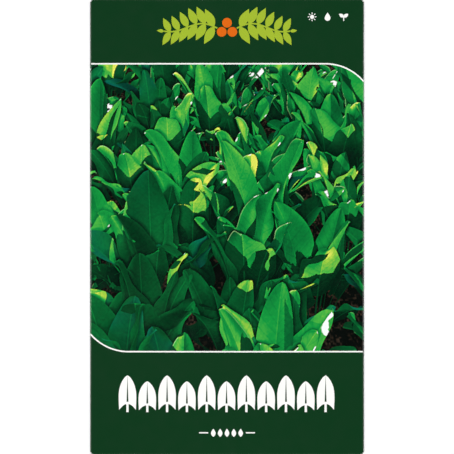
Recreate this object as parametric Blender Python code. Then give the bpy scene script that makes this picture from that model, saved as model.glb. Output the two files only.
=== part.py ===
"""Flat paper seed packet with loose sorrel seeds inside, modelled in Blender 4.5.

The packet is one printed sheet, folded and glued like an envelope. It lies on its back:
the front panel faces +Z and the packet's top edge points along +Y. The origin is the
middle of the rectangle that the packet covers, on the surface that it lies on.

The sheet's folding order, from the surface upwards: top and bottom flaps, back panel,
side flap, the seeds, front panel.
"""

import math
import random

import bmesh
import bpy
from mathutils import Matrix, Vector

MM = 0.001

# Outer size of the folded packet
WIDTH = 90 * MM
HEIGHT = 150 * MM

# The sheet, and the glue film between its layers
PAPER = 0.10 * MM
GLUE_FILM = 0.05 * MM
LAYER = PAPER + GLUE_FILM

# Folds: how far each one rounds out, and the small cut at each corner of the blank
FOLD_REACH = 0.30 * MM
CORNER_CUT = 0.50 * MM
FOLD_STEPS = 4

# Flaps on the back
BOTTOM_FLAP = 14 * MM
TOP_FLAP = 20 * MM
SIDE_FLAP = 12 * MM
FLAP_TAPER = 5 * MM
FLAP_CORNER = 3 * MM
BACK_EDGE_INSET = 1.2 * MM
BACK_SAG_RUN = 9 * MM

# Middle of the paper's thickness, at each layer's highest place
FLAP_LEVEL = PAPER / 2
BACK_LEVEL = FLAP_LEVEL + LAYER
SIDE_LEVEL = BACK_LEVEL + LAYER
FRONT_EDGE_LEVEL = SIDE_LEVEL + 0.30 * MM

# The front panel's belly: air all over, and a mound over the seeds
AIR_RISE = 1.05 * MM
MOUND_RISE = 1.35 * MM
MOUND_X = -3 * MM
MOUND_Y = -26 * MM
MOUND_REACH_X = 27 * MM
MOUND_REACH_Y = 24 * MM

# How finely the panels are divided
COLUMNS = 18
ROWS = 28
BACK_COLUMNS = 4
FLAP_STEPS = 4

# Half sizes of the front panel between its fold lines
HALF_X = WIDTH / 2 - PAPER / 2 - FOLD_REACH
HALF_Y = HEIGHT / 2 - PAPER / 2 - FOLD_REACH

# Sorrel seeds: three-sided nutlets in a low heap
SEED_LENGTH = 2.3 * MM
SEED_RADIUS = 0.80 * MM
SEED_PITCH = 1.44 * MM
SEED_CLEARANCE = 0.30 * MM
HEAP_X = 8.5 * MM
HEAP_Y = 5.5 * MM
UPPER_LAYER_SHARE = 0.55
UPPER_LAYER_STEP = 0.80 * MM
SEED_TILT = math.radians(8)
SEED_STATIONS = ((0.22, 0.72), (0.50, 1.00), (0.80, 0.62))

PRINT_GREEN = (0.006, 0.042, 0.014, 1)
SEED_BROWN = (0.060, 0.022, 0.010, 1)


def clear_scene():
    for old in list(bpy.data.objects):
        bpy.data.objects.remove(old)


def material(name, colour, roughness):
    made = bpy.data.materials.new(name)
    made.use_nodes = True
    shader = made.node_tree.nodes["Principled BSDF"]
    shader.inputs["Base Color"].default_value = colour
    shader.inputs["Roughness"].default_value = roughness
    shader.inputs["Metallic"].default_value = 0.0
    made.diffuse_color = colour
    return made


def smooth(t):
    """Smooth step from 0 to 1."""
    t = min(1.0, max(0.0, t))
    return t * t * (3 - 2 * t)


def front_level(x, y):
    """Height of the front panel's mid-surface: flat at its fold lines, with its belly between."""
    across = 1 - (x / HALF_X) ** 2
    along = 1 - abs(y / HALF_Y) ** 3
    reach = ((x - MOUND_X) / MOUND_REACH_X) ** 2 + ((y - MOUND_Y) / MOUND_REACH_Y) ** 2
    return FRONT_EDGE_LEVEL + across * along * (AIR_RISE + MOUND_RISE * math.exp(-reach))


def back_level(y):
    """Height of the back panel: on the surface in the middle, lifted by the flaps under its two ends."""
    from_bottom_flap = y - (-HALF_Y + BOTTOM_FLAP)
    from_top_flap = (HALF_Y - TOP_FLAP) - y
    sag = smooth(from_bottom_flap / BACK_SAG_RUN) * smooth(from_top_flap / BACK_SAG_RUN)
    return BACK_LEVEL - LAYER * sag


def side_level(y):
    """Height of the side flap, one layer above the back panel."""
    return back_level(y) + LAYER


def steps(count):
    """Even shares from 0 to 1."""
    return [i / count for i in range(count + 1)]


def flap_half_width(inward, depth):
    """Half the width of an end flap at a distance from its fold: tapered, with rounded free corners."""
    half = HALF_X - CORNER_CUT - FLAP_TAPER * inward / depth
    into_corner = min(FLAP_CORNER, max(0.0, inward - (depth - FLAP_CORNER)))
    return half - (FLAP_CORNER - math.sqrt(FLAP_CORNER**2 - into_corner**2))


def divisions(half, count):
    """Grid lines from -half to half, with one at each corner cut."""
    inner = half - CORNER_CUT
    return [-half, *(inner * (2 * share - 1) for share in steps(count - 2)), half]


def add_grid(sheet, point_at, us, vs):
    """A patch of quads: point_at(u, v) at every crossing of the two lists of parameters."""
    rows = [[sheet.verts.new(point_at(u, v)) for u in us] for v in vs]
    for low, high in zip(rows, rows[1:]):
        for i in range(len(us) - 1):
            sheet.faces.new((low[i], low[i + 1], high[i + 1], high[i]))


def fold_arc(step, from_level, to_level):
    """Reach outwards and height, part of the way round a fold from one level down to another."""
    turn = math.pi * step / FOLD_STEPS
    middle = (from_level + to_level) / 2
    half = (from_level - to_level) / 2
    return FOLD_REACH * math.sin(turn), middle + half * math.cos(turn)


def front_panel(sheet, xs, ys):
    add_grid(sheet, lambda x, y: (x, y, front_level(x, y)), xs, ys)


def left_fold(sheet, ys):
    def point(step, y):
        reach, level = fold_arc(step, front_level(-HALF_X, y), back_level(y))
        return (-HALF_X - reach, y, level)

    add_grid(sheet, point, list(reversed(range(FOLD_STEPS + 1))), ys)


def back_panel(sheet, ys):
    span = 2 * HALF_X - BACK_EDGE_INSET

    def point(share, y):
        return (-HALF_X + span * share, y, back_level(y))

    add_grid(sheet, point, list(reversed(steps(BACK_COLUMNS))), ys)


def right_fold(sheet, ys):
    def point(step, y):
        reach, level = fold_arc(step, front_level(HALF_X, y), side_level(y))
        return (HALF_X + reach, y, level)

    add_grid(sheet, point, range(FOLD_STEPS + 1), ys)


def side_flap(sheet, ys):
    """The glue flap: mitred at both ends, on the inner side of the back panel."""
    mitre = 1 - SIDE_FLAP / HALF_Y

    def point(share, y):
        y_there = y * (1 + (mitre - 1) * share)
        return (HALF_X - SIDE_FLAP * share, y_there, side_level(y_there))

    add_grid(sheet, point, steps(2), ys)


def end_fold(sheet, xs, end):
    """The fold between the front panel and an end flap. end is 1 for the top and -1 for the bottom."""

    def point(x, step):
        reach, level = fold_arc(step, front_level(x, end * HALF_Y), FLAP_LEVEL)
        return (x, end * (HALF_Y + reach), level)

    order = list(range(FOLD_STEPS + 1))
    add_grid(sheet, point, xs, order if end > 0 else order[::-1])


def end_flap(sheet, xs, end, depth):
    """An end flap, folded under the back panel's end."""
    full = HALF_X - CORNER_CUT

    def point(x, share):
        inward = depth * share
        return (x * flap_half_width(inward, depth) / full, end * (HALF_Y - inward), FLAP_LEVEL)

    inner_start = 1 - FLAP_CORNER / depth
    shares = [0, inner_start / 2, inner_start]
    shares += [inner_start + (1 - inner_start) * math.sin(math.pi / 2 * s) for s in steps(FLAP_STEPS)[1:]]
    add_grid(sheet, point, xs, shares if end > 0 else shares[::-1])


def paper_packet():
    """The folded sheet: its mid-surface is built panel by panel, welded, and given the paper's thickness."""
    xs = divisions(HALF_X, COLUMNS)
    ys = divisions(HALF_Y, ROWS)
    sheet = bmesh.new()
    front_panel(sheet, xs, ys)
    left_fold(sheet, ys[1:-1])
    back_panel(sheet, ys[1:-1])
    right_fold(sheet, ys[1:-1])
    side_flap(sheet, ys[1:-1])
    end_fold(sheet, xs[1:-1], 1)
    end_flap(sheet, xs[1:-1], 1, TOP_FLAP)
    end_fold(sheet, xs[1:-1], -1)
    end_flap(sheet, xs[1:-1], -1, BOTTOM_FLAP)
    bmesh.ops.remove_doubles(sheet, verts=sheet.verts, dist=PAPER / 20)
    mesh = bpy.data.meshes.new("paper_packet")
    sheet.to_mesh(mesh)
    sheet.free()
    mesh.materials.append(material("printed_paper", PRINT_GREEN, 0.42))
    packet = bpy.data.objects.new("paper_packet", mesh)
    bpy.context.scene.collection.objects.link(packet)
    thickness = packet.modifiers.new("paper_thickness", "SOLIDIFY")
    thickness.thickness = PAPER
    thickness.offset = 0
    thickness.use_even_offset = True
    mesh.shade_smooth()
    return packet


def nutlet_mesh():
    """One seed along X: three ridges that meet at both pointed ends, one flat side down."""
    seed = bmesh.new()
    tail = seed.verts.new((-SEED_LENGTH / 2, 0, 0))
    rings = []
    for station, share in SEED_STATIONS:
        x = SEED_LENGTH * (station - 0.5)
        ring = []
        for ridge in range(3):
            turn = math.pi / 2 + ridge * math.tau / 3
            place = (x, SEED_RADIUS * share * math.cos(turn), SEED_RADIUS * share * math.sin(turn))
            ring.append(seed.verts.new(place))
        rings.append(ring)
    tip = seed.verts.new((SEED_LENGTH / 2, 0, 0))
    for i in range(3):
        j = (i + 1) % 3
        seed.faces.new((tail, rings[0][j], rings[0][i]))
        seed.faces.new((tip, rings[-1][i], rings[-1][j]))
        for near, far in zip(rings, rings[1:]):
            seed.faces.new((near[i], near[j], far[j], far[i]))
    bmesh.ops.triangulate(seed, faces=seed.faces)
    bmesh.ops.recalc_face_normals(seed, faces=seed.faces)
    mesh = bpy.data.meshes.new("nutlet")
    seed.to_mesh(mesh)
    seed.free()
    return mesh


def heap_places():
    """Seed centres: a hexagonal layout with seeded shifts, and a smaller layer on top of it."""
    draw = random.Random(11)
    lowest = PAPER + SEED_CLEARANCE + SEED_RADIUS / 2
    row_pitch = SEED_PITCH * math.sqrt(3) / 2
    places = []
    for level, share in ((0, 1.0), (1, UPPER_LAYER_SHARE)):
        rows = int(HEAP_Y / row_pitch) + 1
        columns = int(HEAP_X / SEED_PITCH) + 1
        for row in range(-rows, rows + 1):
            for column in range(-columns, columns + 1):
                x = (column + (row % 2) / 2 + level / 2) * SEED_PITCH
                y = (row + level / 3) * row_pitch
                if (x / HEAP_X) ** 2 + (y / HEAP_Y) ** 2 > share**2:
                    continue
                shift = Vector((draw.uniform(-1, 1), draw.uniform(-1, 1), 0)) * SEED_PITCH * 0.10
                centre = Vector((MOUND_X + x, MOUND_Y + y, lowest + level * UPPER_LAYER_STEP)) + shift
                heading = draw.uniform(0, math.tau)
                tilt = draw.uniform(-SEED_TILT, SEED_TILT) * level
                places.append((centre, heading, tilt))
    return places


def seeds():
    """The heap as one body: each seed sinks a little into its neighbours."""
    nutlet = nutlet_mesh()
    loose = bpy.data.collections.new("loose_seeds")
    bpy.context.scene.collection.children.link(loose)
    first = None
    for centre, heading, tilt in heap_places():
        placed = Matrix.Translation(centre) @ Matrix.Rotation(heading, 4, "Z") @ Matrix.Rotation(tilt, 4, "Y")
        mesh = nutlet.copy()
        mesh.transform(placed)
        seed = bpy.data.objects.new("seed", mesh)
        if first is None:
            first = seed
            bpy.context.scene.collection.objects.link(seed)
        else:
            loose.objects.link(seed)
    first.name = "seeds"
    join = first.modifiers.new("join_heap", "BOOLEAN")
    join.operand_type = "COLLECTION"
    join.collection = loose
    join.operation = "UNION"
    join.solver = "MANIFOLD"
    bpy.context.view_layer.update()
    joined = bpy.data.meshes.new_from_object(first.evaluated_get(bpy.context.evaluated_depsgraph_get()))
    first.modifiers.clear()
    first.data = joined
    first.data.name = "seeds"
    first.data.materials.clear()
    first.data.materials.append(material("seed_coat", SEED_BROWN, 0.25))
    for seed in list(loose.objects):
        bpy.data.objects.remove(seed)
    bpy.data.collections.remove(loose)
    return first


def main():
    clear_scene()
    paper_packet()
    seeds()


main()
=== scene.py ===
"""Looks of a flat paper seed packet that lies on its back, with its printed front up.

The packet's sheet is modelled finer than in the frame, with the same folds and belly, and a
heap of loose seeds lies inside. What is printed on the front lies on it as thin ink films: a
picture of a sorrel bed between two white keylines, a lime sprig with berries and three small
signs above it, and a row of white leaves and a rule of seeds below it. The picture is worked
out here: a bed of sorrel leaves is laid out by rule, seen from an eye, lit by a low sun from
behind, and its colours are printed on a fine grid that follows the paper.
"""

import math
import random

import bmesh
import bpy
import numpy as np
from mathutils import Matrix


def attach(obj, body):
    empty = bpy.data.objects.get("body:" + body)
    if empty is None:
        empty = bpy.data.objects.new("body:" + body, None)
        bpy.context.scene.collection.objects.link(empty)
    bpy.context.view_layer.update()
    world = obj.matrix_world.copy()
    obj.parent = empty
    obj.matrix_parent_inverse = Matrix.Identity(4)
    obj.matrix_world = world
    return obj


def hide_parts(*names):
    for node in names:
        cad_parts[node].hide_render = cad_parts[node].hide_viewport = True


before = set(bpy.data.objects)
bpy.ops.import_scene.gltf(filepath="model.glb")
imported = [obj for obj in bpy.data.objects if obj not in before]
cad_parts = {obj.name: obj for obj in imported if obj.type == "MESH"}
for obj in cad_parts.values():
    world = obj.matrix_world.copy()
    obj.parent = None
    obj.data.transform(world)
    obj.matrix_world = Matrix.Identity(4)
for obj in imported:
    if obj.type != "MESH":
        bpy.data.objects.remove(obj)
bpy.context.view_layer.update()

MM = 0.001

# The sheet and its folds, as in the frame
WIDTH = 90 * MM
HEIGHT = 150 * MM
PAPER = 0.10 * MM
GLUE_FILM = 0.05 * MM
LAYER = PAPER + GLUE_FILM
FOLD_REACH = 0.30 * MM
CORNER_CUT = 0.50 * MM
BOTTOM_FLAP = 14 * MM
TOP_FLAP = 20 * MM
SIDE_FLAP = 12 * MM
FLAP_TAPER = 5 * MM
FLAP_CORNER = 3 * MM
BACK_EDGE_INSET = 1.2 * MM
BACK_SAG_RUN = 9 * MM
FLAP_LEVEL = PAPER / 2
BACK_LEVEL = FLAP_LEVEL + LAYER
SIDE_LEVEL = BACK_LEVEL + LAYER
FRONT_EDGE_LEVEL = SIDE_LEVEL + 0.30 * MM
AIR_RISE = 1.05 * MM
MOUND_RISE = 1.35 * MM
MOUND = (-3 * MM, -26 * MM)
MOUND_REACH = (27 * MM, 24 * MM)
HALF_X = WIDTH / 2 - PAPER / 2 - FOLD_REACH
HALF_Y = HEIGHT / 2 - PAPER / 2 - FOLD_REACH
QUARTER_FOLD = 0.42 * MM
SHARP_FROM = math.radians(50)

# Grid lines across and along the front, across the back, and round a fold or along a flap
FRONT_COLUMNS = 84
FRONT_ROWS = 140
BACK_COLUMNS = 25
FOLD_STEPS = 9

# Small relief of real paper: bumps over the seeds, and two crossed waves in radians a metre
BUMP_HEIGHT = 0.05 * MM
BUMP_PITCH = 2.6 * MM
BUMP_START = 60
WAVE_HEIGHT = 0.045 * MM
FIRST_WAVE = (95, 55)
FIRST_WAVE_START = 0.4
SECOND_WAVE = (30, 70)

# What is printed on the front, from the middle of the panel
INK = 0.025 * MM
OVERLAP_STEP = 0.003 * MM
OVERLAP_RUN = 14
PICTURE_TOP = 53.7 * MM
PICTURE_BOTTOM = -41.0 * MM
ARC_RADIUS = 16.5 * MM
ARC_X = 32.4 * MM
KEYLINE = 0.46 * MM
BERRY_RADIUS = 1.6 * MM

# The back's print on the unfolded sheet, in millimetres: left, right, low and high
BACK_PANEL = (-127.5, -52.5, -52, 46)
BACK_HEADING = (-123, -57, 36, 41)
BACK_RULES = (-123, -57, -12, 30)
RULE_PITCH = 3.5
RULE_SHORTENING = 22
CALENDAR = (-121, -55, -35, -20)
MONTH_WIDTH = 5.5
CALENDAR_LINE = 5.0

# The picture's raster: printed points across the packet, and finer samples averaged in each
POINTS_ACROSS = 528
SAMPLES = 2
PICTURE_TILES = ("picture_top", "picture_middle", "picture_bottom")
PRINT_GAMMA = 2.2
SHARPEN_RADIUS = 2
SHARPEN_SHARE = 0.55

# The pictured bed, in centimetres: X right, Y away from the viewer, Z up
EYE = np.array((0.0, -165.0, 104.0))
AIM = np.array((0.0, 10.0, 13.0))
HALF_FIELD = 27.0
SUN = np.array((-0.50, 0.70, 0.46))
SUN /= np.linalg.norm(SUN)
SUN_AWAY = 300
SUN_CELLS = 10
SUN_RASTER = (2200, 2200)
SKY_EYE = (0, 45, 200)
SKY_CELLS = 2
SKY_RASTER = (400, 520)
COARSE_SPACING = 0.085
FINE_SHARE = 0.66
FARTHEST = 300

# Planting, in centimetres: rows that recede, and leaves that turn from one to the next
BED_SEED = 5
ROWS = (-44, -28, -12, 5, 22, 41, 62, 85)
FIRST_REACH = 26
REACH_GAIN = 0.32
ODD_ROW_SHIFT = 0.4
PLANT_PITCH = 17.0
PLANT_SHIFT = 5
PLANT_SIZES = (0.8, 1.15)
LEAF_COUNTS = (11, 16)
LEAF_TURN = 2.4
LEAF_LENGTHS = (20, 28)
OUTER_LEAF_LOSS = 0.25
CROWN_RADIUS = 1.5
INNER_LEAN = 0.05
OUTER_LEAN = 0.70
LEAN_SPREAD = 0.07
STALK_HALF = 0.16

# Shade, in centimetres: what still counts as sunlit, a tree's shade, and how light fades in depth
OWN_SLACK = 2.5
OTHER_SLACK = 0.35
TREE_PATCH = (15, 24)
TREE_RAG = (3.2, 5)
TREE_RAG_SHARE = 0.26
TREE_THRESHOLD = 0.42
NEAR_GAIN = 0.18
NEAR_FROM = 8
NEAR_RUN = 40
CANOPY_FADE = 3.8
RECESS_FADE = 3.5

# Light levels of a leaf: in deep shade, under the sky, with the sun behind it, and facing the sun
SHADE_LEVEL = 0.06
SKY_LEVEL = 0.12
SKY_TINT = 0.22
SKY_UPWARD = 0.16
SKY_CLOUD = 0.22
BEHIND_LEVEL = 0.22
BEHIND_GAIN = 0.18
BEHIND_WARMTH = 0.30
BEHIND_STREAK = 0.26
FACING_LEVEL = 0.16
FACING_GAIN = 0.24
FACING_STREAK = 0.08

# Marks on a leaf, in centimetres and in shares of the level
RIB_WIDTH = 0.10
RIM_WIDTH = 0.07
RIM_SHARE = 0.6
SHEEN_SHARE = 0.5
VEINS = 9
VEIN_SLANT = 1.6
VEIN_FROM = 0.72
MOTTLE_GAIN = 0.05
GLINT_POWER = 26


def srgb(*rgb):
    """A colour or a row of colours given in 8-bit display values, as linear light."""
    c = np.array(rgb) / 255
    return np.where(c <= 0.04045, c / 12.92, ((c + 0.055) / 1.055) ** 2.4)


# Printing inks
BAND_GREEN = srgb(14, 56, 28)
WHITE_INK = srgb(252, 252, 248)
LIME_INK = srgb(162, 186, 50)
ORANGE_INK = srgb(224, 104, 20)
PANEL_CREAM = srgb(238, 240, 226)
RULE_GREY = srgb(120, 132, 122)
CELL_GREY = srgb(206, 214, 196)

# Paper and seeds
WORN_PAPER = srgb(214, 222, 206)
PAPER_SHADE = srgb(240, 238, 230)
PAPER_WHITE = srgb(250, 249, 244)
SEED_DARK = srgb(58, 26, 14)
SEED_LIGHT = srgb(128, 66, 34)

# Colours in the picture: those of a leaf from no light on it to the sun shining through it
LEAF_LEVELS = (0.0, 0.14, 0.30, 0.44, 0.57, 0.70, 0.82, 0.92, 1.0)
LEAF_TONES = srgb(
    (0, 8, 6),
    (0, 34, 17),
    (2, 66, 31),
    (4, 94, 44),
    (8, 124, 54),
    (20, 152, 62),
    (74, 178, 66),
    (156, 204, 66),
    (222, 228, 92),
)
SKY_SHEEN = srgb(0, 88, 98)
RIM = srgb(176, 236, 156)
GLINT = srgb(245, 255, 250)
SOIL_DARK = srgb(3, 8, 5)
SOIL_LIGHT = srgb(52, 42, 32)


def smooth(t):
    """Smooth step: 0 below 0, 1 above 1, and 3 t squared less 2 t cubed between."""
    t = np.clip(t, 0, 1)
    return t * t * (3 - 2 * t)


def unit(v):
    """Vectors brought to length 1."""
    return v / np.linalg.norm(v, axis=-1, keepdims=True)


def mix(a, b, share):
    """Colour a where share is 0 and b where it is 1."""
    share = np.asarray(share)[..., None]
    return a * (1 - share) + b * share


def soft_noise(x, y, seed):
    """Noise from 0 to 1: seeded values at whole coordinates, eased between by smooth steps."""
    table = np.random.default_rng(seed).random((256, 256))
    xi, yi = np.floor(x).astype(int), np.floor(y).astype(int)
    fx, fy = smooth(x - xi), smooth(y - yi)
    low = table[xi & 255, yi & 255] * (1 - fx) + table[(xi + 1) & 255, yi & 255] * fx
    high = table[xi & 255, (yi + 1) & 255] * (1 - fx) + table[(xi + 1) & 255, (yi + 1) & 255] * fx
    return low * (1 - fy) + high * fy


def box_blur(field, radius):
    """The mean over a square of 2 radius + 1 cells, from running sums along each axis."""
    width = 2 * radius + 1
    for axis in (0, 1):
        pad = [(radius + 1, radius) if i == axis else (0, 0) for i in range(field.ndim)]
        total = np.cumsum(np.pad(field, pad, mode="edge"), axis=axis)
        count = total.shape[axis]
        field = (total.take(range(width, count), axis) - total.take(range(count - width), axis)) / width
    return field


# Sheet


def front_level(x, y):
    """Height of the front panel's mid-surface.

    It is flat along its four folds. Between them the air lifts it like a parabola across and a
    flatter curve along, with a Gaussian mound over the seeds, the seeds' own small bumps on the
    mound, and long shallow waves that fade out at the folds.
    """
    across = 1 - (x / HALF_X) ** 2
    along = 1 - np.abs(y / HALF_Y) ** 3
    reach = ((x - MOUND[0]) / MOUND_REACH[0]) ** 2 + ((y - MOUND[1]) / MOUND_REACH[1]) ** 2
    mound = np.exp(-reach)
    bumps = soft_noise(x / BUMP_PITCH + BUMP_START, y / BUMP_PITCH + BUMP_START, 21)
    bumps = (bumps - 0.5) * BUMP_HEIGHT * mound**3
    first_wave = np.sin(x * FIRST_WAVE[0] + y * FIRST_WAVE[1] + FIRST_WAVE_START)
    waves = first_wave * np.sin(y * SECOND_WAVE[1] - x * SECOND_WAVE[0]) * WAVE_HEIGHT
    return FRONT_EDGE_LEVEL + across * along * (AIR_RISE + MOUND_RISE * mound + waves) + bumps


def back_level(y):
    """Height of the back panel: on the surface in the middle, lifted by the flaps under its ends."""
    from_bottom_flap = y - (-HALF_Y + BOTTOM_FLAP)
    from_top_flap = (HALF_Y - TOP_FLAP) - y
    sag = LAYER * smooth(from_bottom_flap / BACK_SAG_RUN) * smooth(from_top_flap / BACK_SAG_RUN)
    return BACK_LEVEL - sag


def on_front(s, y, lift):
    """Points on the sheet's printed side, s being the distance across the unfolded front.

    Between the side folds s is x. Past a fold the point goes round a quarter of an ellipse, so
    that what is printed reaches the packet's very edge. lift is the height above the paper.
    """
    inner = np.clip(s, -HALF_X, HALF_X)
    turn = np.clip((np.abs(s) - HALF_X) / QUARTER_FOLD, 0, 1) * math.pi / 2
    level = front_level(inner, y)
    lower = np.where(s < 0, back_level(y), back_level(y) + LAYER)
    drop = (level - lower) / 2
    off = PAPER / 2 + lift
    x = inner + np.sign(s) * (FOLD_REACH + off) * np.sin(turn)
    z = level - drop * (1 - np.cos(turn)) + off * np.cos(turn)
    return np.stack((x, y + 0 * s, z), axis=-1)


def grid_faces(rows, columns, first=0):
    """Quads of a grid whose points are numbered row by row."""
    at = first + np.arange(rows * columns).reshape(rows, columns)
    return np.stack((at[:-1, :-1], at[:-1, 1:], at[1:, 1:], at[1:, :-1]), axis=-1).reshape(-1, 4)


def new_mesh(name, points, faces):
    """A mesh object at the origin from an array of points and a list of faces."""
    mesh = bpy.data.meshes.new(name)
    mesh.from_pydata(points.reshape(-1, 3).tolist(), [], faces)
    mesh.validate()
    mesh.shade_smooth()
    made = bpy.data.objects.new(name, mesh)
    bpy.context.scene.collection.objects.link(made)
    return made


def dress(piece, material):
    """Give a piece its material and its place on the one body."""
    piece.data.materials.append(material)
    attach(piece, "root")


def divisions(half, count):
    """Grid lines from -half to half, with one at each corner cut."""
    inner = half - CORNER_CUT
    return np.concatenate(([-half], np.linspace(-inner, inner, count), [half]))


def flap_half_width(inward, depth):
    """Half the width of an end flap: tapered away from its fold, with rounded free corners."""
    half = HALF_X - CORNER_CUT - FLAP_TAPER * inward / depth
    into_corner = np.clip(inward - (depth - FLAP_CORNER), 0, FLAP_CORNER)
    return half - (FLAP_CORNER - np.sqrt(FLAP_CORNER**2 - into_corner**2))


def fold_arc(turn, high, low):
    """Reach outwards and height round a half ellipse from one level down to another."""
    return FOLD_REACH * np.sin(turn), (high + low) / 2 + (high - low) / 2 * np.cos(turn)


def sheet_patches():
    """The folded sheet's mid-surface, panel by panel.

    Each patch is a grid of points with a grid of places on the unfolded sheet, in metres from
    the middle of the front. Rows run so that every patch's faces point outwards.
    """
    xs = divisions(HALF_X, FRONT_COLUMNS)
    ys = divisions(HALF_Y, FRONT_ROWS)
    x, y = np.meshgrid(xs, ys)
    yield np.stack((x, y, front_level(x, y)), -1), np.stack((x, y), -1)

    half_turn = np.linspace(0, math.pi, FOLD_STEPS)
    turn, y = np.meshgrid(half_turn, ys[1:-1])
    fold_width = 2 * QUARTER_FOLD
    for end, low in ((-1, back_level(y)), (1, back_level(y) + LAYER)):
        reach, z = fold_arc(turn, front_level(np.full_like(y, end * HALF_X), y), low)
        points = np.stack((end * (HALF_X + reach), y, z), -1)
        flat = np.stack((end * (HALF_X + fold_width * turn / math.pi), y), -1)
        yield (points, flat) if end > 0 else (points[:, ::-1], flat[:, ::-1])

    share, y = np.meshgrid(np.linspace(1, 0, BACK_COLUMNS), ys[1:-1])
    run = (2 * HALF_X - BACK_EDGE_INSET) * share
    back = np.stack((-HALF_X + run, y, back_level(y)), -1)
    yield back, np.stack((-HALF_X - fold_width - run, y), -1)

    share, y = np.meshgrid(np.linspace(0, 1, FOLD_STEPS), ys[1:-1])
    y = y * (1 - SIDE_FLAP / HALF_Y * share)
    run = SIDE_FLAP * share
    side_flap = np.stack((HALF_X - run, y, back_level(y) + LAYER), -1)
    yield side_flap, np.stack((HALF_X + fold_width + run, y), -1)

    full = HALF_X - CORNER_CUT
    for end, depth in ((1, TOP_FLAP), (-1, BOTTOM_FLAP)):
        x, turn = np.meshgrid(xs[1:-1], half_turn)
        reach, z = fold_arc(turn, front_level(x, np.full_like(x, end * HALF_Y)), FLAP_LEVEL)
        points = np.stack((x, end * (HALF_Y + reach), z), -1)
        flat = np.stack((x, end * (HALF_Y + fold_width * turn / math.pi)), -1)
        yield (points, flat) if end > 0 else (points[::-1], flat[::-1])

        straight = np.linspace(0, depth - FLAP_CORNER, FOLD_STEPS)
        corner_turn = np.linspace(0, math.pi / 2, FOLD_STEPS)
        rounded = depth - FLAP_CORNER + FLAP_CORNER * np.sin(corner_turn)[1:]
        x, inward = np.meshgrid(xs[1:-1], np.concatenate((straight, rounded)))
        x = x * flap_half_width(inward, depth) / full
        points = np.stack((x, end * (HALF_Y - inward), np.full_like(x, FLAP_LEVEL)), -1)
        flat = np.stack((x, end * (HALF_Y + fold_width + inward)), -1)
        yield (points, flat) if end > 0 else (points[::-1], flat[::-1])


def folded_packet(printed, bare):
    """The sheet as one mesh: its patches welded along their folds, then given the paper's thickness.

    The inner side and the cut edges take the second material, the bare paper.
    """
    points, flats, faces, first = [], [], [], 0
    for point, flat in sheet_patches():
        points.append(point.reshape(-1, 3))
        flats.append(flat.reshape(-1, 2))
        faces.append(grid_faces(*point.shape[:2], first))
        first += len(points[-1])
    packet = new_mesh("folded_packet", np.concatenate(points), np.concatenate(faces).tolist())
    mesh = packet.data
    corner = np.empty(len(mesh.loops), np.int32)
    mesh.loops.foreach_get("vertex_index", corner)
    unfolded = mesh.uv_layers.new(name="unfolded_sheet")
    unfolded.data.foreach_set("uv", np.concatenate(flats)[corner].astype(np.float32).ravel())
    welded = bmesh.new()
    welded.from_mesh(mesh)
    bmesh.ops.remove_doubles(welded, verts=welded.verts, dist=PAPER / 20)
    welded.to_mesh(mesh)
    welded.free()
    mesh.shade_smooth()
    dress(packet, printed)
    mesh.materials.append(bare)
    wall = packet.modifiers.new("paper_thickness", "SOLIDIFY")
    wall.thickness = PAPER
    wall.offset = 0
    wall.use_even_offset = True
    wall.material_offset = 1
    wall.material_offset_rim = 1
    bpy.context.view_layer.update()
    thickened = packet.evaluated_get(bpy.context.evaluated_depsgraph_get())
    thick = bpy.data.meshes.new_from_object(thickened)
    packet.modifiers.clear()
    packet.data = thick
    thick.set_sharp_from_angle(angle=SHARP_FROM)
    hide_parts("paper_packet")


# Pictured bed


class View:
    """Where points of the bed fall on a raster, along rays from an eye or along parallel rays."""

    def __init__(self, eye, forward, up, cells_per_cm, size, parallel):
        self.eye = np.array(eye, float)
        self.forward = unit(np.array(forward, float))
        self.right = unit(np.cross(self.forward, up))
        self.up = np.cross(self.right, self.forward)
        self.scale = cells_per_cm if parallel else cells_per_cm * np.linalg.norm(forward)
        self.size, self.parallel = size, parallel
        self.layers = {"depth": np.full(size[0] * size[1], np.inf, np.float32)}

    def place(self, points):
        """Raster column, row and depth of each point."""
        offset = points - self.eye
        depth = offset @ self.forward
        scale = self.scale if self.parallel else self.scale / depth
        return (
            self.size[0] / 2 + offset @ self.right * scale,
            self.size[1] / 2 - offset @ self.up * scale,
            depth,
        )

    def cells(self, points):
        """The number of the raster cell that each point falls in, at the border if outside."""
        column, row, depth = self.place(points)
        column = np.clip(column, 0, self.size[0] - 1).astype(np.int64)
        row = np.clip(row, 0, self.size[1] - 1).astype(np.int64)
        return row * self.size[0] + column, depth

    def sees(self, points):
        """Which points fall inside the raster."""
        column, row, _ = self.place(points)
        return (column >= 0) & (column < self.size[0]) & (row >= 0) & (row < self.size[1])

    def take(self, points, **values):
        """Keep in each cell the depth and values of its nearest point.

        Points behind what a cell already holds are dropped. The rest are written from the
        farthest to the nearest, so that the nearest stays.
        """
        cell, depth = self.cells(points)
        kept = self.sees(points) & (depth < self.layers["depth"][cell])
        order = np.flatnonzero(kept)[np.argsort(-depth[kept])]
        cell = cell[order]
        self.layers["depth"][cell] = depth[order]
        for name, value in values.items():
            if name not in self.layers:
                self.layers[name] = np.zeros((len(self.layers["depth"]), *value.shape[1:]), np.float32)
            self.layers[name][cell] = value[order]


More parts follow.
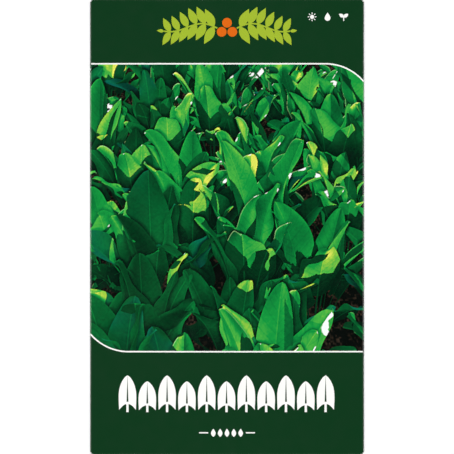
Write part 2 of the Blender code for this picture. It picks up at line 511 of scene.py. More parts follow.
def sorrel_leaf(number, foot, heading, lean, length, spacing):
    """Points of one leaf: a stalk that runs on as the midrib of a long, blunt blade.

    The midrib starts at the foot and leans over by an angle that grows with the distance along
    it. The blade is as wide as a sine of that distance raised to a power, its two halves rise
    from the midrib like a shallow V, and a sine wave that grows towards the margin ruffles it.
    """
    draw = np.random.default_rng(number)
    stalk_share = draw.uniform(0.34, 0.46)
    blade_half = length * draw.uniform(0.115, 0.172)
    droop = draw.uniform(0.10, 0.7) + 0.4 * lean
    twist = draw.normal(0, 0.25)
    fold = draw.uniform(0.08, 0.5)
    ruffle = draw.uniform(0.12, 0.60)
    ruffle_turns = draw.uniform(2.0, 4.5) * 2 * math.pi
    ruffle_start = draw.uniform(0, 2 * math.pi)

    u = np.linspace(0, 1, int(length / spacing) + 2)
    v = np.linspace(-1, 1, int(2 * blade_half / spacing) + 3)
    out = np.array((math.cos(heading), math.sin(heading), 0.0))
    across = np.array((-out[1], out[0], 0.0))
    angle = (lean + droop * u**2.2)[:, None]
    tangent = np.sin(angle) * out + np.cos(angle) * np.array((0, 0, 1.0))
    spine = foot + np.cumsum(tangent, axis=0) * (length / len(u))
    face = np.cross(tangent, across)
    turn = (twist * u)[:, None]
    side = across * np.cos(turn) + face * np.sin(turn)
    lift = face * np.cos(turn) - across * np.sin(turn)

    t = np.clip((u - stalk_share) / (1 - stalk_share), 0, 1)
    half = STALK_HALF + (blade_half - STALK_HALF) * np.sin(math.pi * t**0.68) ** 0.62
    half *= np.sqrt(np.clip((1 - u) / 0.01, 0, 1))
    wide = half[:, None] * v
    wave = np.sin(ruffle_turns * u[:, None] + ruffle_start + np.sign(v))
    rise = np.abs(wide) * math.sin(fold) + ruffle * smooth(t * 4)[:, None] * v**2 * wave
    sideways = side[:, None] * (wide * math.cos(fold))[..., None]
    points = spine[:, None] + sideways + lift[:, None] * rise[..., None]
    normal = unit(np.cross(np.gradient(points, axis=0), np.gradient(points, axis=1)) + 1e-9)
    shape = wide.shape
    return {
        "points": points.reshape(-1, 3),
        "normal": normal.reshape(-1, 3),
        "along": np.broadcast_to(t[:, None], shape).ravel(),
        "across": np.broadcast_to(v, shape).ravel(),
        "half": np.broadcast_to(half[:, None], shape).ravel(),
        "sunward": ((side @ SUN)[:, None] * v).ravel(),
        "leaf": np.full(wide.size, number, np.float32),
    }


def planted_rows(draw):
    """Feet of the plants, in rows that recede, each plant shifted at random."""
    for row, y in enumerate(ROWS):
        reach = FIRST_REACH + (y - ROWS[0]) * REACH_GAIN
        count = int(2 * reach / PLANT_PITCH) + 1
        for i in range(count):
            x = (i - (count - 1) / 2 + (row % 2) * ODD_ROW_SHIFT) * 2 * reach / count
            shifted_x = x + draw.uniform(-PLANT_SHIFT, PLANT_SHIFT)
            yield shifted_x, y + draw.uniform(-PLANT_SHIFT, PLANT_SHIFT)


def rosettes():
    """Foot, heading, lean and length of every leaf: upright inside a plant, spreading outside."""
    draw = np.random.default_rng(BED_SEED)
    for x, y in planted_rows(draw):
        size = draw.uniform(*PLANT_SIZES)
        count = draw.integers(*LEAF_COUNTS)
        first = draw.uniform(0, 2 * math.pi)
        for i in range(count):
            rank = i / count
            heading = first + i * LEAF_TURN
            lean = INNER_LEAN + OUTER_LEAN * rank**1.3 + draw.normal(0, LEAN_SPREAD)
            length = size * draw.uniform(*LEAF_LENGTHS) * (1 - OUTER_LEAF_LOSS * rank)
            off_x, off_y = math.cos(heading) * CROWN_RADIUS, math.sin(heading) * CROWN_RADIUS
            yield np.array((x + off_x, y + off_y, 0.0)), heading, lean, length


def seen_bed():
    """The bed as the eye, the sun and the sky see it.

    The sun and the sky see coarse leaves. The eye's have points closer than its samples.
    """
    wide = POINTS_ACROSS * SAMPLES
    tall = round(wide * (PICTURE_TOP - PICTURE_BOTTOM) / WIDTH)
    eye = View(EYE, AIM - EYE, (0, 0, 1), wide / 2 / HALF_FIELD, (wide, tall), False)
    sun = View(AIM + SUN * SUN_AWAY, -SUN, (0, 0, 1), SUN_CELLS, SUN_RASTER, True)
    sky = View(SKY_EYE, (0, 0, -1), (0, 1, 0), SKY_CELLS, SKY_RASTER, True)
    sample = 2 * HALF_FIELD / wide
    for number, (foot, heading, lean, length) in enumerate(rosettes(), 1):
        coarse = sorrel_leaf(number, foot, heading, lean, length, COARSE_SPACING)
        sun.take(coarse["points"], leaf=coarse["leaf"])
        sky.take(coarse["points"][::2])
        if eye.sees(coarse["points"][::7]).any():
            away = np.linalg.norm(foot - EYE) / np.linalg.norm(AIM - EYE)
            spacing = sample * away * FINE_SHARE
            fine = sorrel_leaf(number, foot, heading, lean, length, spacing)
            eye.take(**fine, spot=fine["points"])
    return eye, sun, sky


def sunlit(seen, sun):
    """Where the sun reaches: what it sees first, and not in the ragged shade of a tree.

    The tree's shade is noise read where the sun's ray meets the ground, with a threshold that
    rises towards the viewer, so that the nearest rows lie mostly in shade.
    """
    spot = seen["spot"]
    cell, depth = sun.cells(spot)
    own = sun.layers["leaf"][cell] == seen["leaf"]
    slack = np.where(own, OWN_SLACK, OTHER_SLACK)
    first = depth < sun.layers["depth"][cell] + slack
    ground = spot - SUN * (spot[:, 2:] / SUN[2])
    patches = soft_noise(ground[:, 0] / TREE_PATCH[0] + 30, ground[:, 1] / TREE_PATCH[1] + 30, 31)
    rags = soft_noise(ground[:, 0] / TREE_RAG[0], ground[:, 1] / TREE_RAG[1], 32)
    nearness = smooth((NEAR_FROM - spot[:, 1]) / NEAR_RUN)
    threshold = TREE_THRESHOLD + NEAR_GAIN * nearness
    return first & ((1 - TREE_RAG_SHARE) * patches + TREE_RAG_SHARE * rags > threshold)


def sky_light(seen, sky):
    """Share of the sky's light: less the deeper a point lies under the blurred canopy."""
    heights = np.clip(sky.eye[2] - sky.layers["depth"].reshape(sky.size[::-1]), 0, None)
    canopy = box_blur(box_blur(heights, 5), 5).ravel()
    cell, _ = sky.cells(seen["spot"])
    return np.exp(-np.clip(canopy[cell] - seen["spot"][:, 2], 0, None) / CANOPY_FADE)


def recess(eye):
    """How far each cell lies behind its neighbours: its depth less the blurred depth, in centimetres."""
    depth = np.minimum(eye.layers["depth"], FARTHEST).reshape(eye.size[::-1])
    return np.clip(depth - box_blur(box_blur(depth, 9), 9), 0, None).ravel()


def leaf_tone(level):
    """Colour of a leaf at a light level: straight lines between the leaf tones."""
    return np.stack([np.interp(level, LEAF_LEVELS, channel) for channel in LEAF_TONES.T], -1)


def leaf_colours(seen, sun, sky, hidden):
    """Colour of each seen point of a leaf.

    Its light level is the sky's share plus the sun's. The sun's share is larger through a leaf
    that has the sun behind it than on one that faces the sun, and it grows with the angle
    between leaf and ray, with a tint of each leaf and with soft streaks along it. The level is
    turned into a colour by the row of leaf tones. A pale midrib, fine veins, bright sunward
    margins, a bluish sheen of the sky and ragged glints are laid over that.
    """
    spot, along, across, half, leaf = (seen[k] for k in ("spot", "along", "across", "half", "leaf"))
    to_eye = unit(EYE - spot)
    normal = seen["normal"] * np.sign((seen["normal"] * to_eye).sum(1))[:, None]
    facing = normal @ SUN
    upward = np.clip(normal[:, 2], 0, 1)
    lit = sunlit(seen, sun)
    open_sky = sky_light(seen, sky) * np.exp(-hidden / RECESS_FADE)
    tint = soft_noise(leaf * 7.3, leaf * 0.7, 9)
    warmth = soft_noise(leaf * 3.1 + 90, leaf * 1.7, 17)
    mottle = soft_noise(spot[:, 0] * 3.1 + 40, spot[:, 2] * 3.1 + spot[:, 1], 4)
    streak = soft_noise(across * 1.6 + leaf * 3.7, along * 2.5 + leaf, 3)
    cloud = soft_noise(across * 0.9 + leaf * 5.3 + 50, along * 1.6 + leaf * 0.3, 8)

    under_sky = SKY_LEVEL + SKY_TINT * tint + SKY_UPWARD * upward + SKY_CLOUD * (cloud - 0.4)
    through = np.clip(-facing, 0, 1) ** 1.2
    behind = BEHIND_LEVEL + through * (BEHIND_GAIN + BEHIND_WARMTH * warmth)
    behind += BEHIND_STREAK * (streak - 0.5) * (0.5 + warmth)
    ahead = FACING_LEVEL + FACING_GAIN * np.clip(facing, 0, 1) + FACING_STREAK * (streak - 0.5)
    level = SHADE_LEVEL + open_sky * under_sky + np.where(lit, np.where(facing < 0, behind, ahead), 0)

    rib = smooth(1.5 - np.abs(across) * half / RIB_WIDTH)
    vein = np.abs((along * VEINS - np.abs(across) * VEIN_SLANT) % 1 - 0.5) * 2
    vein = smooth((vein - VEIN_FROM) / (1 - VEIN_FROM)) * (along > 0.02) * (1 - rib)
    level += rib * np.where(lit, 0.05, 0.10) - vein * np.where(lit, 0.035, 0.02)
    level += MOTTLE_GAIN * (mottle - 0.5)
    colour = leaf_tone(level)
    sheen = upward**2 * (tint > 0.70) * open_sky * ~lit
    colour = mix(colour, SKY_SHEEN, SHEEN_SHARE * sheen)

    rim = smooth(1.4 - half * (1 - np.abs(across)) / RIM_WIDTH) * (along > 0.03)
    rim *= smooth(seen["sunward"] * 3 - 1.0) * smooth(warmth * 4 - 1.6)
    colour = mix(colour, RIM, RIM_SHARE * rim * lit)

    mirror = (normal * unit(SUN + to_eye)).sum(1)
    ragged = soft_noise(spot[:, 0] * 1.3 + 11, (spot[:, 1] + spot[:, 2]) * 1.3, 6)
    glint = smooth((np.clip(mirror, 0, 1) ** GLINT_POWER + (ragged - 0.5) * 0.5 - 0.60) * 7)
    return mix(colour, GLINT, glint * lit)


def soil_colours(eye):
    """Colour of the soil behind each raster cell, from noise where the cell's ray meets the ground."""
    column, row = np.meshgrid(np.arange(eye.size[0]), np.arange(eye.size[1]))
    right = (column.ravel() - eye.size[0] / 2) / eye.scale
    up = (eye.size[1] / 2 - row.ravel()) / eye.scale
    ray = eye.forward + right[:, None] * eye.right + up[:, None] * eye.up
    ground = eye.eye + ray * (-eye.eye[2] / np.minimum(ray[:, 2:], -1e-3))
    crumbs = soft_noise(ground[:, 0] * 0.9, ground[:, 1] * 0.5, 12)
    crumbs = crumbs * soft_noise(ground[:, 0] * 3, ground[:, 1] * 1.6, 13)
    return mix(SOIL_DARK, SOIL_LIGHT, smooth(crumbs * 1.8 - 0.35))


def picture_colours():
    """The printed picture's linear colours, row by row from its top.

    Samples are averaged in each printed point, and the result is sharpened as prepress does:
    what differs from a blurred copy is added again.
    """
    eye, sun, sky = seen_bed()
    leafy = np.flatnonzero(np.isfinite(eye.layers["depth"]))
    seen = {name: layer[leafy] for name, layer in eye.layers.items()}
    colours = soil_colours(eye)
    colours[leafy] = leaf_colours(seen, sun, sky, recess(eye)[leafy])
    wide, tall = eye.size[0] // SAMPLES, eye.size[1] // SAMPLES
    colours = colours.reshape(eye.size[1], eye.size[0], 3)[: tall * SAMPLES]
    colours = colours.reshape(tall, SAMPLES, wide, SAMPLES, 3).mean(axis=(1, 3))
    tone = np.clip(colours, 0, 1) ** (1 / PRINT_GAMMA)
    tone = np.clip(tone + SHARPEN_SHARE * (tone - box_blur(tone, SHARPEN_RADIUS)), 0, 1)
    return tone**PRINT_GAMMA


def picture_span(s):
    """Lowest and highest y of the picture at s: level lines, each with an arc at one end."""
    bend = np.clip(np.abs(s) - ARC_X, 0, ARC_RADIUS)
    fall = ARC_RADIUS - np.sqrt(ARC_RADIUS**2 - bend**2)
    return PICTURE_BOTTOM + np.where(s < 0, fall, 0), PICTURE_TOP - np.where(s > 0, fall, 0)


def printed_picture(ink):
    """The picture as tiles of a fine grid on the paper, clipped to its outline, coloured by point."""
    colours = picture_colours()
    tall, wide = colours.shape[:2]
    edge = HALF_X + QUARTER_FOLD
    s, y = np.meshgrid(np.linspace(-edge, edge, wide), np.linspace(PICTURE_TOP, PICTURE_BOTTOM, tall))
    y = np.clip(y, *picture_span(s))
    row = np.rint((PICTURE_TOP - y) / (PICTURE_TOP - PICTURE_BOTTOM) * (tall - 1)).astype(int)
    colours = colours[row, np.arange(wide)]
    cuts = np.linspace(0, tall - 1, len(PICTURE_TILES) + 1).astype(int)
    for name, first, last in zip(PICTURE_TILES, cuts, cuts[1:]):
        part = slice(first, last + 1)
        tile_s, tile_y = s[part][::-1], y[part][::-1]
        faces = grid_faces(*tile_s.shape)
        flat_y = tile_y.ravel()[faces]
        open_cells = (flat_y[:, 3] > flat_y[:, 0]) | (flat_y[:, 2] > flat_y[:, 1])
        tile = new_mesh(name, on_front(tile_s, tile_y, INK), faces[open_cells].tolist())
        shade = np.ones((tile_s.size, 4), np.float32)
        shade[:, :3] = colours[part][::-1].reshape(-1, 3)
        layer = tile.data.color_attributes.new("print_colour", "FLOAT_COLOR", "POINT")
        layer.data.foreach_set("color", shade.ravel())
        dress(tile, ink)


# Ink shapes


def turned(x, y, angle):
    """Places turned about the middle, to the left where the angle is positive."""
    return x * math.cos(angle) - y * math.sin(angle), x * math.sin(angle) + y * math.cos(angle)


def ink_piece(name, shapes, material, lift=2 * INK):
    """Flat shapes printed in one ink. Each is a grid of places on the unfolded front.

    Each shape lies a little above the one before, over a run of shapes, so that shapes that
    overlap never share a level.
    """
    points, faces, first = [], [], 0
    for number, (s, y) in enumerate(shapes):
        d_row = (s[-1] - s[0], y[-1] - y[0])
        d_column = (s[:, -1] - s[:, 0], y[:, -1] - y[:, 0])
        if d_column[0].mean() * d_row[1].mean() < d_column[1].mean() * d_row[0].mean():
            s, y = s[:, ::-1], y[:, ::-1]
        points.append(on_front(s, y, lift + number % OVERLAP_RUN * OVERLAP_STEP).reshape(-1, 3))
        faces.append(grid_faces(*s.shape, first))
        first += s.size
    dress(new_mesh(name, np.concatenate(points), np.concatenate(faces).tolist()), material)


def stroke(s, y, width):
    """A line of one width along a path: the path's points shifted to both sides."""
    d_s, d_y = np.gradient(s), np.gradient(y)
    length = np.hypot(d_s, d_y)
    off = np.linspace(-width / 2, width / 2, 3)
    return s[:, None] - (d_y / length)[:, None] * off, y[:, None] + (d_s / length)[:, None] * off


def spindle(s, y, length, width, angle, bluntness=1.0):
    """A leaf or seed shape from its foot at s, y: as wide as a sine of the distance along it."""
    u, v = np.meshgrid(np.linspace(0.001, 0.999, 15), np.linspace(-1, 1, 5), indexing="ij")
    x, off = turned(length * u, width / 2 * np.sin(math.pi * u**bluntness) * v, angle)
    return s + x, y + off


def disc(s, y, radius):
    """A round dot: a square grid whose sides are bent out to the circle."""
    a, b = np.meshgrid(np.linspace(-1, 1, 13), np.linspace(-1, 1, 13))
    return s + radius * a * np.sqrt(1 - b * b / 2), y + radius * b * np.sqrt(1 - a * a / 2)


def keylines():
    """The white lines above and below the picture, each with its arc at one end."""
    edge = HALF_X + QUARTER_FOLD
    turn = np.linspace(0, math.pi / 2 * 0.99, 60)
    arc_s = ARC_X + ARC_RADIUS * np.sin(turn)
    arc_y = PICTURE_TOP - ARC_RADIUS * (1 - np.cos(turn))
    kept = arc_s < edge
    straight = np.linspace(-edge, ARC_X, 180)[:-1]
    s = np.concatenate((straight, arc_s[kept]))
    y = np.concatenate((np.full_like(straight, PICTURE_TOP), arc_y[kept]))
    upper = stroke(s, y, KEYLINE)
    middle = PICTURE_TOP + PICTURE_BOTTOM
    for across, along in (upper, (-upper[0], middle - upper[1])):
        yield np.clip(across, -edge, edge), along


def sorrel_motif(s, foot, height, width):
    """A printed sorrel leaf: a stalk and two half blades with a gap for the midrib between.

    The blade is widest at its base and narrows by a power of the height. The base corners
    drop, which gives the leaf its arrow shape.
    """
    stalk_share, gap_share, corner_drop = 0.22, 0.055, 0.16
    blade_foot = foot + stalk_share * height
    blade = foot + height - blade_foot
    u, v = np.meshgrid(np.linspace(0, 0.999, 25), np.linspace(0, 1, 6), indexing="ij")
    gap = gap_share * width * (1 - u)
    swell = 0.88 + 0.12 * np.cos(3 * (u - 0.35))
    half = np.maximum(width / 2 * (1 - u**3.6) ** 0.72 * swell, gap)
    across = gap + (half - gap) * v
    up = blade_foot + blade * u - corner_drop * height * v**1.7 * (1 - u) ** 5
    stem_y = np.linspace(foot, blade_foot + 0.06 * height, 8)
    yield s + across, up
    yield s - across, up
    yield stroke(np.full(8, s), stem_y, 0.13 * width)


def leaf_row():
    """Eleven leaves side by side, tall and less tall by turns, on one foot line."""
    left, right, foot, tall = -36.0 * MM, 35.7 * MM, -60.9 * MM, 12.1 * MM
    count, less_tall, filled = 11, 0.84, 0.90
    pitch = (right - left) / count
    for i in range(count):
        height = tall * (1.0 if i % 2 == 0 else less_tall)
        yield from sorrel_motif(left + pitch * (i + 0.5), foot, height, pitch * filled)


def seed_rule():
    """Five seeds between two thin rules."""
    y, rule_start, rule_end, rule_width = -67.7 * MM, 6.2 * MM, 9.2 * MM, 0.40 * MM
    pitch, length, width = 2.25 * MM, 2.7 * MM, 1.5 * MM
    for side in (-1, 1):
        yield stroke(side * np.linspace(rule_start, rule_end, 6), np.full(6, y), rule_width)
    for i in range(-2, 3):
        yield spindle(i * pitch, y - length / 2, length, width, math.pi / 2, 0.85)


def care_signs():
    """Small signs for sun, water and a seedling."""
    y = 69.15 * MM
    sun, drop, sprout = 28.0 * MM, 33.1 * MM, 38.4 * MM
    rays, ring, foot, leaf_tilt = 8, 0.85 * MM, 1.35, 0.62
    yield disc(sun, y, 0.68 * MM)
    for i in range(rays):
        angle = i * 2 * math.pi / rays
        ray_s, ray_y = sun + ring * math.cos(angle), y + ring * math.sin(angle)
        yield spindle(ray_s, ray_y, 0.65 * MM, 0.34 * MM, angle)
    yield spindle(drop, y - foot * MM, 2.8 * MM, 1.9 * MM, math.pi / 2, 0.62)
    yield stroke(np.full(5, sprout), y + np.linspace(-foot, 0.1, 5) * MM, 0.30 * MM)
    for angle in (leaf_tilt, math.pi - leaf_tilt):
        yield spindle(sprout, y - 0.1 * MM, 1.9 * MM, 1.15 * MM, angle, 0.8)


def sprig_stem(side, share):
    """The sprig's stem from the middle outwards: a sine wave that dies away."""
    start, run, level, swing, waves, decay = 3.2, 17.5, 65.4, 1.7, 5.2, 0.35
    s = side * (start + run * share) * MM
    return s, (level + swing * np.sin(share * waves) * (1 - decay * share)) * MM


def sprig():
    """A sprig on either side of the middle, with leaves in pairs that shrink outwards."""
    pairs, first, step = 6, 0.06, 0.165
    longest, shrink, width_share = 6.6, 0.30, 0.44
    for side in (-1, 1):
        s, y = sprig_stem(side, np.linspace(0, 1, 40))
        yield stroke(s, y, 0.50 * MM)
        for i in range(pairs):
            s, y = sprig_stem(side, first + i * step)
            size = (longest - shrink * i) * MM
            for tilt in (1.10, -1.05):
                angle = tilt if side > 0 else math.pi - tilt
                yield spindle(s, y, size, size * width_share, angle, 0.8)
        s, y = sprig_stem(side, 1.0)
        yield spindle(s, y, 2.4 * MM, 1.1 * MM, 0.1 if side > 0 else math.pi - 0.1, 0.8)


def berries():
    """Three round fruits in the middle of the sprig."""
    for s, y in ((-1.75, 64.2), (1.75, 64.2), (0.0, 67.2)):
        yield disc(s * MM, y * MM, BERRY_RADIUS)


# Finishes, with the scales of their noises per metre

INK_CLOUDS = 260
INK_SPECKS = 5200
INK_FADE = 0.93
PAPER_GRAIN = 2600
PAPER_RIPPLES = 420
FIBRES = 1800
GRAIN_DEPTH = 0.02 * MM
PRINT_GLOSS = 0.30
SMOOTHEST = 0.12
ROUGHNESS_SWING = 0.10
RUB_CLOUDS = 900
RUB_REACH = 0.42 * MM
RUB_LOSS = 0.20 * MM
RUB_SHARE = 0.10


class Finish:
    """A material whose nodes are added one line each."""

    def __init__(self, name, **sockets):
        self.material = bpy.data.materials.new(name)
        self.material.use_nodes = True
        self.tree = self.material.node_tree
        self.shader = self.tree.nodes["Principled BSDF"]
        for socket, value in sockets.items():
            self.shader.inputs[socket.replace("_", " ")].default_value = value

    def node(self, kind, inputs=(), **settings):
        """A node with its settings. inputs pairs a socket's name or number with a value or an output."""
        made = self.tree.nodes.new(kind)
        for setting, value in settings.items():
            setattr(made, setting, value)
        for socket, value in inputs:
            self.feed(made.inputs[socket], value)
        return made

    def feed(self, socket, value):
        if isinstance(value, bpy.types.NodeSocket):
            self.tree.links.new(value, socket)
        else:
            socket.default_value = value

    def math(self, operation, *values):
        return self.node("ShaderNodeMath", enumerate(values), operation=operation).outputs[0]

    def noise(self, scale, detail):
        place = self.node("ShaderNodeTexCoord").outputs["Object"]
        inputs = (("Vector", place), ("Scale", scale), ("Detail", detail))
        return self.node("ShaderNodeTexNoise", inputs).outputs["Fac"]

    def blend(self, share, a, b):
        mixed = self.node("ShaderNodeMix", data_type="RGBA")
        self.feed(mixed.inputs[0], share)
        self.feed(mixed.inputs[6], a)
        self.feed(mixed.inputs[7], b)
        return mixed.outputs[2]

    def between(self, value, low, high, soft=0.00005):
        """1 where a value lies between two limits, 0 outside, with a narrow ramp at each."""
        up = self.math("DIVIDE", self.math("SUBTRACT", value, low), soft)
        down = self.math("DIVIDE", self.math("SUBTRACT", high, value), soft)
        return self.node("ShaderNodeClamp", [("Value", self.math("MINIMUM", up, down))]).outputs[0]

    def relief(self, height, strength, distance):
        inputs = (("Height", height), ("Strength", strength), ("Distance", distance))
        self.feed(self.shader.inputs["Normal"], self.node("ShaderNodeBump", inputs).outputs[0])


def rgba(colour):
    return (*(float(c) for c in colour), 1.0)


def coated(finish, colour):
    """Satin coated paper under ink: faint mottle in the ink, uneven gloss and a fine grain."""
    cloud = finish.noise(INK_CLOUDS, 3)
    speck = finish.noise(INK_SPECKS, 2)
    finish.shader.inputs["Specular IOR Level"].default_value = PRINT_GLOSS
    fade = (("Color", colour), ("Value", INK_FADE))
    darker = finish.node("ShaderNodeHueSaturation", fade).outputs[0]
    share = finish.math("MULTIPLY", cloud, finish.math("ADD", speck, 0.4))
    finish.feed(finish.shader.inputs["Base Color"], finish.blend(share, colour, darker))
    roughness = finish.math("MULTIPLY_ADD", cloud, ROUGHNESS_SWING, SMOOTHEST)
    finish.feed(finish.shader.inputs["Roughness"], roughness)
    ripples = finish.math("MULTIPLY", finish.noise(PAPER_RIPPLES, 2), 1.5)
    grain = finish.math("ADD", finish.noise(PAPER_GRAIN, 3), ripples)
    finish.relief(grain, 0.25, GRAIN_DEPTH)
    return finish.material


def back_print(finish, across, along, green):
    """The back panel's print: a cream panel with grey rules and a sowing calendar of twelve months."""

    def box(left, right, low, high):
        inside = finish.between(across, left * MM, right * MM), finish.between(along, low * MM, high * MM)
        return finish.math("MULTIPLY", *inside)

    def repeat(value, pitch, share):
        phase = finish.math("FRACT", finish.math("DIVIDE", value, pitch * MM))
        return finish.between(phase, 0.04, share, 0.02)

    colour = finish.blend(box(*BACK_PANEL), green, rgba(PANEL_CREAM))
    rules = finish.math("MULTIPLY", box(*BACK_RULES), repeat(along, RULE_PITCH, 0.34))
    ragged = finish.node("ShaderNodeTexWhiteNoise", noise_dimensions="1D")
    line = finish.math("FLOOR", finish.math("DIVIDE", along, RULE_PITCH * MM))
    finish.feed(ragged.inputs["W"], line)
    shortening, longest = -RULE_SHORTENING * MM, BACK_RULES[1] * MM
    line_end = finish.math("MULTIPLY_ADD", ragged.outputs["Value"], shortening, longest)
    rules = finish.math("MULTIPLY", rules, finish.math("LESS_THAN", across, line_end))
    colour = finish.blend(rules, colour, rgba(RULE_GREY))
    colour = finish.blend(box(*BACK_HEADING), colour, green)
    months = repeat(across, MONTH_WIDTH, 0.90)
    cells = finish.math("MULTIPLY", months, repeat(along, CALENDAR_LINE, 0.86))
    calendar = finish.math("MULTIPLY", box(*CALENDAR), cells)
    colour = finish.blend(calendar, colour, rgba(CELL_GREY))
    bars = (-110, -88, -25, LIME_INK), (-99, -66, -30, BAND_GREEN), (-77, -60.5, -35, ORANGE_INK)
    for left, right, low, ink in bars:
        bar = finish.math("MULTIPLY", box(left, right, low, low + CALENDAR_LINE), cells)
        colour = finish.blend(bar, colour, rgba(ink))
    return colour


def packet_print():
    """The sheet's printed side: green ink, the back's print, and white paper where folds are worn."""
    finish = Finish("printed_green_paper")
    place = finish.node("ShaderNodeUVMap", uv_map="unfolded_sheet").outputs[0]
    split = finish.node("ShaderNodeSeparateXYZ", [("Vector", place)])
    across, along = split.outputs[0], split.outputs[1]
    colour = back_print(finish, across, along, rgba(BAND_GREEN))

    def from_fold(value, fold):
        from_middle = finish.math("ABSOLUTE", value)
        return finish.math("ABSOLUTE", finish.math("SUBTRACT", from_middle, fold))

    from_side, from_end = from_fold(across, WIDTH / 2 + PAPER), from_fold(along, HEIGHT / 2 + PAPER)
    nearest = finish.math("MINIMUM", from_side, from_end)
    rubbed = finish.math("MULTIPLY", finish.noise(RUB_CLOUDS, 4), RUB_REACH)
    rubbed = finish.math("SUBTRACT", rubbed, RUB_LOSS)
    worn = finish.math("MULTIPLY", finish.math("LESS_THAN", nearest, rubbed), RUB_SHARE)
    return coated(finish, finish.blend(worn, colour, rgba(WORN_PAPER)))


def bare_paper():
    """White paper without a coat: fibres, dull and slightly warm."""
    finish = Finish("bare_white_paper", Roughness=0.85)
    fibres = finish.noise(FIBRES, 4)
    colour = finish.blend(fibres, rgba(PAPER_SHADE), rgba(PAPER_WHITE))
    finish.feed(finish.shader.inputs["Base Color"], colour)
    finish.relief(fibres, 0.3, GRAIN_DEPTH)
    return finish.material


def picture_ink():
    """The picture's inks, whose colour each printed point carries."""
    finish = Finish("picture_print")
    colour = finish.node("ShaderNodeAttribute", attribute_name="print_colour").outputs["Color"]
    return coated(finish, colour)


def plain_ink(name, colour):
    """One ink of one colour on coated paper."""
    return coated(Finish(name), rgba(colour))


def seed_coat():
    """Sorrel nutlets: glossy chestnut brown, darker in clouds, with a fine grain."""
    finish = Finish("glossy_seed_coat", Coat_Weight=0.4, Coat_Roughness=0.15)
    cloud = finish.noise(700, 3)
    colour = finish.blend(cloud, rgba(SEED_DARK), rgba(SEED_LIGHT))
    finish.feed(finish.shader.inputs["Base Color"], colour)
    finish.feed(finish.shader.inputs["Roughness"], finish.math("MULTIPLY_ADD", cloud, 0.2, 0.22))
    finish.relief(finish.noise(4000, 2), 0.3, GRAIN_DEPTH)
    return finish.material


# Seeds

SEED_LENGTH = 2.3 * MM
SEED_RADIUS = 0.80 * MM
SEED_PITCH = 1.44 * MM
SEED_SHIFT = 0.10
SEED_CLEARANCE = 0.30 * MM
HEAP_SEED = 11
HEAP = (8.5 * MM, 5.5 * MM)
UPPER_LAYER_SHARE = 0.55
UPPER_LAYER_STEP = 0.80 * MM
SEED_TILT = math.radians(8)


def heap_places():
    """Centre, heading and tilt of each seed, where the frame has them."""
    draw = random.Random(HEAP_SEED)
    lowest = PAPER + SEED_CLEARANCE + SEED_RADIUS / 2
    row_pitch = SEED_PITCH * math.sqrt(3) / 2
    rows, columns = int(HEAP[1] / row_pitch) + 1, int(HEAP[0] / SEED_PITCH) + 1
    for level, share in ((0, 1.0), (1, UPPER_LAYER_SHARE)):
        for row in range(-rows, rows + 1):
            for column in range(-columns, columns + 1):
                x = (column + (row % 2) / 2 + level / 2) * SEED_PITCH
                y = (row + level / 3) * row_pitch
                if (x / HEAP[0]) ** 2 + (y / HEAP[1]) ** 2 > share**2:
                    continue
                x += MOUND[0] + draw.uniform(-1, 1) * SEED_PITCH * SEED_SHIFT
                y += MOUND[1] + draw.uniform(-1, 1) * SEED_PITCH * SEED_SHIFT
                heading = draw.uniform(0, math.tau)
                tilt = draw.uniform(-SEED_TILT, SEED_TILT) * level
                yield (x, y, lowest + level * UPPER_LAYER_STEP), heading, tilt


def nutlet(stations=9, sides=15):
    """One seed along X: rings between two pointed ends.

    A ring's radius is a blend of a circle and a triangle with rounded ridges, and it swells and
    shrinks along the seed as a sine of a power of the distance.
    """
    share = np.linspace(0, 1, stations + 2)[1:-1, None]
    turn = np.linspace(0, 2 * math.pi, sides, endpoint=False)
    ridge = math.pi / 2
    off = np.mod(turn - ridge + math.pi / 3, 2 * math.pi / 3) - math.pi / 3
    flat = 0.5 / np.cos(math.pi / 3 - np.abs(off))
    radius = SEED_RADIUS * np.sin(math.pi * share**0.92) ** 0.8 * (0.80 * flat + 0.20)
    x = np.broadcast_to(SEED_LENGTH * (share - 0.5), radius.shape)
    rings = np.stack((x, radius * np.cos(turn), radius * np.sin(turn)), -1).reshape(-1, 3)
    points = np.concatenate((rings, [(-SEED_LENGTH / 2, 0, 0), (SEED_LENGTH / 2, 0, 0)]))
    at = np.arange(stations * sides).reshape(stations, sides)
    next_at = np.roll(at, -1, axis=1)
    quads = np.stack((at[:-1], next_at[:-1], next_at[1:], at[1:]), -1).reshape(-1, 4)
    tail, tip = len(rings), len(rings) + 1
    tails = np.stack((next_at[0], at[0], np.full(sides, tail)), -1)
    tips = np.stack((at[-1], next_at[-1], np.full(sides, tip)), -1)
    return points, quads, np.concatenate((tails, tips))


def loose_seeds():
    """The heap of seeds as one piece: the nutlet tilted about Y, turned about Z and set in place."""
    points, quads, ends = nutlet()
    placed, faces = [], []
    for number, (centre, heading, tilt) in enumerate(heap_places()):
        x = points[:, 0] * math.cos(tilt) + points[:, 2] * math.sin(tilt)
        z = points[:, 2] * math.cos(tilt) - points[:, 0] * math.sin(tilt)
        x, y = turned(x, points[:, 1], heading)
        placed.append(np.stack((x, y, z), -1) + centre)
        first = number * len(points)
        faces += (quads + first).tolist() + (ends + first).tolist()
    heap = new_mesh("loose_seeds", np.concatenate(placed), faces)
    dress(heap, seed_coat())
    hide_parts("seeds")


# Studio, in metres. Each grey of the room is a place on its ramp and a level.

FLOOR_HALF = 4.0
FLOOR_GAP = 0.05 * MM
FLOOR_GREYS = (0.95, 0.98)
LAMPS = 6
RING_RADIUS = 0.85
RING_HEIGHT = 1.45
LAMP_SIZE = 0.6
LAMP_POWER = 5.2
POWER_SWING = 1.2
ROOM_GREY = (0.42, 0.5)
OVERHEAD_GREY = (0.70, 0.006)
CAMERA_DISTANCE = 1.6


def grey(level):
    """A neutral colour."""
    return level, level, level, 1


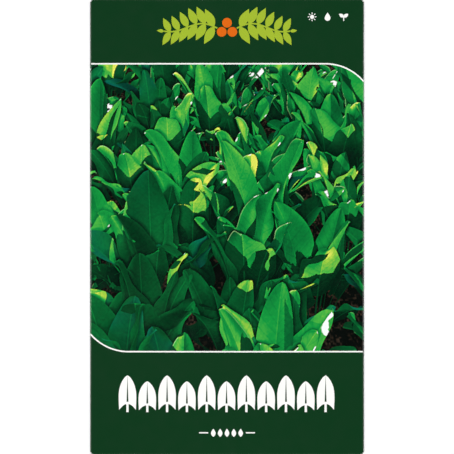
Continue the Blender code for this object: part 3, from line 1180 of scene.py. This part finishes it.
def floor():
    """A plain pale floor under the packet."""
    x, y = np.meshgrid((-FLOOR_HALF, FLOOR_HALF), (-FLOOR_HALF, FLOOR_HALF))
    corners = np.stack((x, y, np.full_like(x, -FLOOR_GAP)), -1)
    ground = new_mesh("floor", corners, grid_faces(2, 2).tolist())
    finish = Finish("pale_floor", Roughness=0.9, Specular_IOR_Level=0.1)
    colour = finish.blend(finish.noise(3, 2), *(grey(level) for level in FLOOR_GREYS))
    finish.feed(finish.shader.inputs["Base Color"], colour)
    ground.data.materials.append(finish.material)


def soft_light(name, place, size, power):
    """A round area light that shines at the packet."""
    light = bpy.data.lights.new(name, "AREA")
    light.shape = "DISK"
    light.size = size
    light.energy = power
    lamp = bpy.data.objects.new(name, light)
    lamp.location = place
    aim = -lamp.location
    lamp.rotation_euler = aim.to_track_quat("-Z", "Y").to_euler()
    bpy.context.scene.collection.objects.link(lamp)


def surroundings():
    """A room that is pale all round and dark overhead, so that the print keeps its depth."""
    world = bpy.data.worlds.new("studio")
    bpy.context.scene.world = world
    world.use_nodes = True
    tree = world.node_tree
    background = tree.nodes["Background"]
    place = tree.nodes.new("ShaderNodeTexCoord")
    split = tree.nodes.new("ShaderNodeSeparateXYZ")
    ramp = tree.nodes.new("ShaderNodeValToRGB")
    tree.links.new(place.outputs["Generated"], split.inputs[0])
    tree.links.new(split.outputs[2], ramp.inputs[0])
    tree.links.new(ramp.outputs[0], background.inputs[0])
    for stop, (height, level) in zip(ramp.color_ramp.elements, (ROOM_GREY, OVERHEAD_GREY)):
        stop.position = height
        stop.color = grey(level)


def studio():
    """The floor, the room and a ring of soft lights, which leaves hardly any shadow."""
    floor()
    surroundings()
    for i in range(LAMPS):
        angle = 2 * math.pi / LAMPS * i
        place = (-RING_RADIUS * math.cos(angle), RING_RADIUS * math.sin(angle), RING_HEIGHT)
        power = LAMP_POWER + POWER_SWING * math.cos(angle)
        soft_light(f"soft_light_{i + 1}", place, LAMP_SIZE, power)


def camera():
    """Square on to the front, far enough for a flat view, with the end folds just out of the frame."""
    eye = bpy.data.cameras.new("camera")
    eye.sensor_width = 36
    eye.lens = eye.sensor_width * CAMERA_DISTANCE / (HEIGHT - 2 * FOLD_REACH)
    eye.clip_end = 50
    holder = bpy.data.objects.new("camera", eye)
    holder.location = (0, 0, CAMERA_DISTANCE + FRONT_EDGE_LEVEL)
    bpy.context.scene.collection.objects.link(holder)
    bpy.context.scene.camera = holder


def main():
    bpy.context.scene.view_settings.view_transform = "Standard"
    folded_packet(packet_print(), bare_paper())
    printed_picture(picture_ink())
    white = plain_ink("white_ink", WHITE_INK)
    ink_piece("keylines", keylines(), white)
    ink_piece("leaf_row", leaf_row(), white)
    ink_piece("seed_rule", seed_rule(), white)
    ink_piece("care_signs", care_signs(), white)
    ink_piece("lime_sprig", sprig(), plain_ink("lime_ink", LIME_INK))
    ink_piece("orange_berries", berries(), plain_ink("orange_ink", ORANGE_INK), 3 * INK)
    loose_seeds()
    studio()
    camera()


main()
